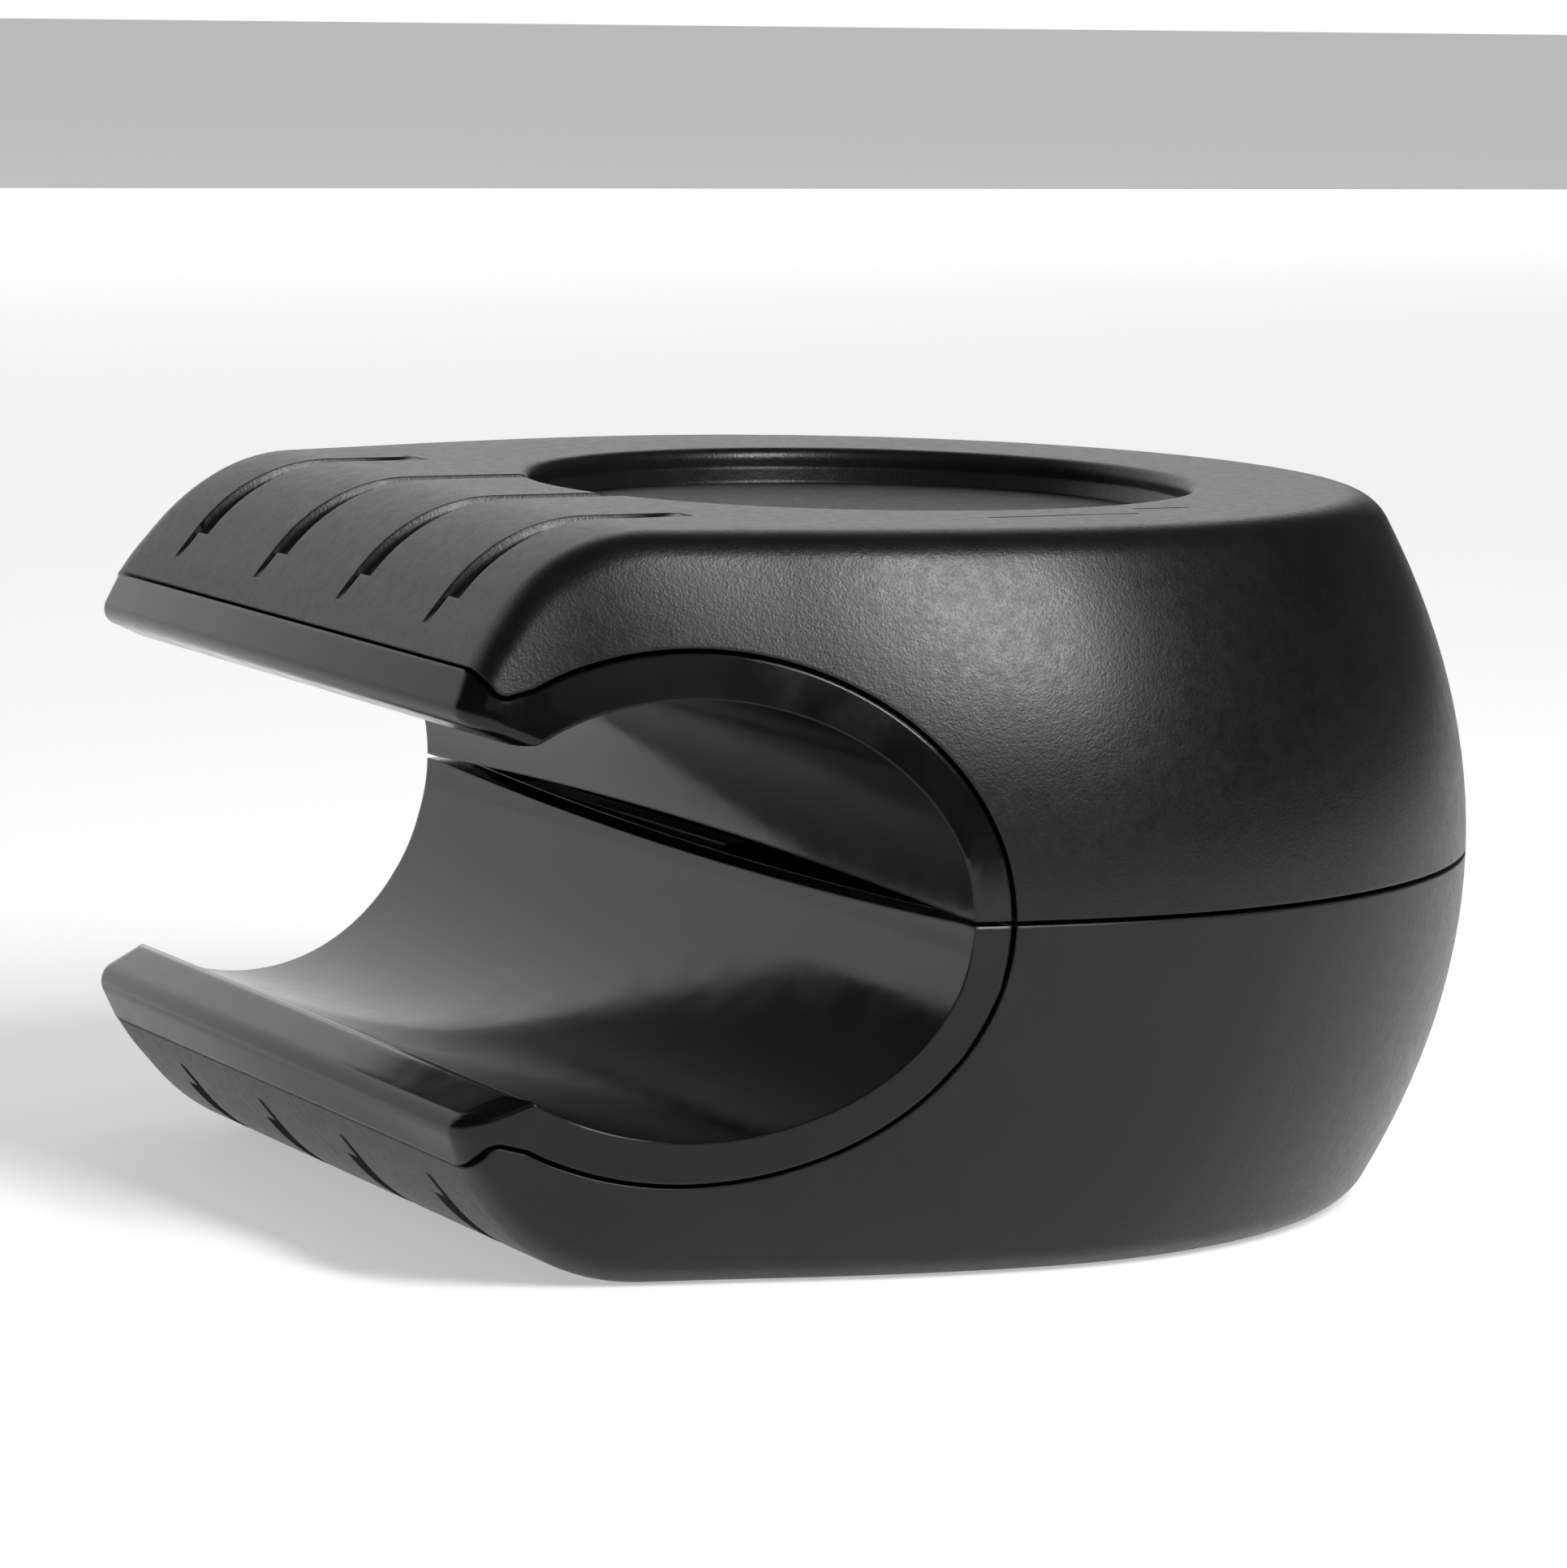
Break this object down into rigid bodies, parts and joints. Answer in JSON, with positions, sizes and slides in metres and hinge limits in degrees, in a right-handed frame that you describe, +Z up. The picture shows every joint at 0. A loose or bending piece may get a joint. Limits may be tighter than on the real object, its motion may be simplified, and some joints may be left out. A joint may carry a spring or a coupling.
{
  "type": "spring-jaw tube clip",
  "caption": "Hand-sized C-jawed tube clip: matching half shells with smooth bore liners, round thumb dishes and grip grooves, hinged at the back and sprung closed.",
  "frame": {"origin": "on the surface that the clip rests on, under the middle of its box", "axes": "+X from the open mouth towards the hinge, +Y along the tube that the jaws hold, +Z up through the dishes"},
  "size_m": [0.081, 0.0814, 0.0454],
  "materials": {
    "textured_nylon": "fine spark-eroded texture",
    "smooth_acetal": "smooth semi-gloss",
    "plate_nylon": "satin",
    "screw_steel": "plain",
    "pin_steel": "ground",
    "spring_steel": "drawn wire"
  },
  "bodies": {
    "lower_jaw": {"lower_shell": "textured_nylon", "lower_liner": "smooth_acetal", "lower_dish_plate": "plate_nylon", "lower_liner_screw_1": "screw_steel", "lower_liner_screw_2": "screw_steel", "lower_liner_screw_3": "screw_steel", "lower_liner_screw_4": "screw_steel", "hinge_pin": "pin_steel", "hinge_clip_left": "pin_steel", "hinge_clip_right": "pin_steel", "jaw_spring_left": "spring_steel", "jaw_spring_right": "spring_steel"},
    "upper_jaw": {"upper_shell": "textured_nylon", "upper_liner": "smooth_acetal", "upper_dish_plate": "plate_nylon", "upper_liner_screw_1": "screw_steel", "upper_liner_screw_2": "screw_steel", "upper_liner_screw_3": "screw_steel", "upper_liner_screw_4": "screw_steel"}
  },
  "joints": [
    {"name": "jaw_hinge", "type": "hinge", "parent": "lower_jaw", "child": "upper_jaw", "pos_m": [0.0336, 0, 0.0227], "axis": [0, 1, 0], "range_deg": [0, 6], "stiffness_Nm_per_rad": 0.4, "springref_deg": -28.65, "deforming": ["jaw_spring_left", "jaw_spring_right"]}
  ]
}
